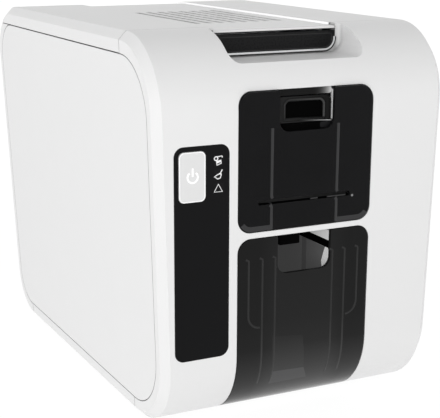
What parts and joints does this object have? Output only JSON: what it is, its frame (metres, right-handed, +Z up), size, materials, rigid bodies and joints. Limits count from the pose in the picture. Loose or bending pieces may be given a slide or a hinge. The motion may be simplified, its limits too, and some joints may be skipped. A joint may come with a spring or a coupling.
{
  "type": "id card printer",
  "caption": "Desktop card printer with a rounded white casing, smoked front doors over the card hopper and bin, and a hinged vented lid.",
  "frame": {"origin": "middle of the footprint, on the desk under the feet", "axes": "+X to the right as seen from the front, +Y towards the back, +Z up"},
  "size_m": [0.2174, 0.3306, 0.264],
  "materials": {
    "white_casing": "fine even grain",
    "smoked_door": "polished",
    "black_label": "polished",
    "grey_button": "satin",
    "clear_light": "polished",
    "black_bar": "satin",
    "bright_trim": "polished",
    "black_rubber": "matte",
    "tacky_rubber": "tacky",
    "steel_sheet": "zinc plated",
    "steel_bar": "ground",
    "grey_plastic": "moulded",
    "black_plastic": "moulded",
    "pale_gear": "moulded",
    "motor_can": "satin",
    "head_metal": "satin",
    "ribbon": "film",
    "green_board": "varnished",
    "board_black": "moulded"
  },
  "bodies": {
    "housing": {"front_fascia": "white_casing", "rear_cover": "white_casing", "base_pan": "white_casing", "left_side_panel": "white_casing", "right_side_panel": "white_casing", "rubber_feet": "black_rubber", "control_label": "black_label", "indicator_lights": "clear_light", "front_board": "green_board", "hinge_pins": "steel_bar", "left_chassis_plate": "steel_sheet", "right_chassis_plate": "steel_sheet", "tie_bars": "steel_bar", "input_hopper": "grey_plastic", "output_bin": "grey_plastic", "exit_ramp": "grey_plastic", "shaft_bushes": "pale_gear", "drive_belt": "black_rubber", "motor_plate": "steel_sheet", "drive_motor": "motor_can", "ribbon_film": "ribbon", "ribbon_motor": "motor_can", "tilt_motor": "motor_can", "main_board": "green_board", "board_parts": "board_black", "power_socket": "board_black", "data_socket": "board_black", "fan_frame": "black_plastic", "case_screws": "steel_bar"},
    "lid": {"lid": "white_casing", "lid_frame": "steel_sheet", "head_arm": "steel_sheet", "print_head": "head_metal", "head_springs": "steel_bar"},
    "handle": {"lid_handle": "black_bar", "handle_trim": "bright_trim", "latch_hooks": "black_bar"},
    "upper_door": {"upper_door": "smoked_door"},
    "lower_door": {"lower_door": "smoked_door"},
    "power_button": {"power_button": "grey_button"},
    "card_weight": {"card_weight": "black_plastic"},
    "motor_pulley": {"motor_pulley": "pale_gear"},
    "feed_roller": {"feed_roller": "black_rubber", "feed_shaft": "steel_bar"},
    "front_drive_roller": {"front_drive_roller": "black_rubber", "front_drive_shaft": "steel_bar"},
    "platen_roller": {"platen_roller": "black_rubber", "platen_shaft": "steel_bar"},
    "rear_drive_roller": {"rear_drive_roller": "black_rubber", "rear_drive_shaft": "steel_bar"},
    "cleaning_roller": {"cleaning_roller": "tacky_rubber"},
    "pinch_roller": {"pinch_roller": "tacky_rubber"},
    "takeup": {"takeup_spool": "black_plastic", "takeup_gear": "pale_gear"},
    "ribbon_pinion": {"ribbon_pinion": "pale_gear"},
    "supply": {"supply_spool": "black_plastic", "supply_roll": "ribbon"},
    "carriage": {"tilt_carriage": "black_plastic"},
    "carriage_roller": {"carriage_roller": "black_rubber"},
    "fan_rotor": {"fan_rotor": "black_plastic"}
  },
  "joints": [
    {"name": "lid_hinge", "type": "hinge", "parent": "housing", "child": "lid", "pos_m": [0, 0.1562, 0.2496], "axis": [-1, 0, 0], "range_deg": [0, 75]},
    {"name": "handle_pull", "type": "hinge", "parent": "lid", "child": "handle", "pos_m": [0, -0.108, 0.2545], "axis": [-1, 0, 0], "range_deg": [0, 6], "stiffness_Nm_per_rad": 0.6, "springref_deg": -5.73},
    {"name": "upper_door_hinge", "type": "hinge", "parent": "housing", "child": "upper_door", "pos_m": [0, -0.1635, 0.147], "axis": [1, 0, 0], "range_deg": [0, 85]},
    {"name": "lower_door_hinge", "type": "hinge", "parent": "housing", "child": "lower_door", "pos_m": [0, -0.138, 0.01021], "axis": [1, 0, 0], "range_deg": [0, 60]},
    {"name": "power_button_press", "type": "slide", "parent": "housing", "child": "power_button", "axis": [0, 1, 0], "range_m": [0, 0.0012], "stiffness_N_per_m": 900, "springref_m": -0.001},
    {"name": "card_weight_slide", "type": "slide", "parent": "housing", "child": "card_weight", "axis": [0, 0, 1], "range_m": [0, 0.066]},
    {"name": "motor_spin", "type": "hinge", "parent": "housing", "child": "motor_pulley", "pos_m": [0, -0.045, 0.1], "axis": [1, 0, 0], "continuous": true},
    {"name": "feed_roller_spin", "type": "hinge", "parent": "housing", "child": "feed_roller", "pos_m": [0, -0.105, 0.148], "axis": [1, 0, 0], "continuous": true},
    {"name": "front_drive_roller_spin", "type": "hinge", "parent": "housing", "child": "front_drive_roller", "pos_m": [0, -0.05, 0.148], "axis": [1, 0, 0], "continuous": true},
    {"name": "platen_roller_spin", "type": "hinge", "parent": "housing", "child": "platen_roller", "pos_m": [0, -0.012, 0.148], "axis": [1, 0, 0], "continuous": true},
    {"name": "rear_drive_roller_spin", "type": "hinge", "parent": "housing", "child": "rear_drive_roller", "pos_m": [0, 0.014, 0.148], "axis": [1, 0, 0], "continuous": true},
    {"name": "cleaning_roller_spin", "type": "hinge", "parent": "housing", "child": "cleaning_roller", "pos_m": [0, -0.05, 0.1618], "axis": [1, 0, 0], "continuous": true},
    {"name": "pinch_roller_spin", "type": "hinge", "parent": "housing", "child": "pinch_roller", "pos_m": [0, 0.014, 0.1618], "axis": [1, 0, 0], "continuous": true},
    {"name": "takeup_spin", "type": "hinge", "parent": "housing", "child": "takeup", "pos_m": [0, -0.058, 0.206], "axis": [1, 0, 0], "continuous": true},
    {"name": "ribbon_pinion_spin", "type": "hinge", "parent": "housing", "child": "ribbon_pinion", "pos_m": [0, -0.058, 0.1796], "axis": [1, 0, 0], "continuous": true},
    {"name": "supply_spin", "type": "hinge", "parent": "housing", "child": "supply", "pos_m": [0, 0.038, 0.198], "axis": [1, 0, 0], "continuous": true},
    {"name": "carriage_tilt", "type": "hinge", "parent": "housing", "child": "carriage", "pos_m": [0, 0.067, 0.1564], "axis": [1, 0, 0], "range_deg": [0, 22]},
    {"name": "carriage_roller_spin", "type": "hinge", "parent": "carriage", "child": "carriage_roller", "pos_m": [0, 0.049, 0.151], "axis": [1, 0, 0], "continuous": true},
    {"name": "fan_spin", "type": "hinge", "parent": "housing", "child": "fan_rotor", "pos_m": [-0.07, 0.152, 0.17], "axis": [0, 1, 0], "continuous": true}
  ],
  "couplings": [
    {"joint": "motor_spin", "follows": "platen_roller_spin", "ratio": 1},
    {"joint": "feed_roller_spin", "follows": "platen_roller_spin", "ratio": 1},
    {"joint": "front_drive_roller_spin", "follows": "platen_roller_spin", "ratio": 1},
    {"joint": "rear_drive_roller_spin", "follows": "platen_roller_spin", "ratio": 1},
    {"joint": "cleaning_roller_spin", "follows": "platen_roller_spin", "ratio": -1.6},
    {"joint": "pinch_roller_spin", "follows": "platen_roller_spin", "ratio": -1.6},
    {"joint": "ribbon_pinion_spin", "follows": "takeup_spin", "ratio": -3.3333},
    {"joint": "supply_spin", "follows": "takeup_spin", "ratio": 0.64706}
  ]
}
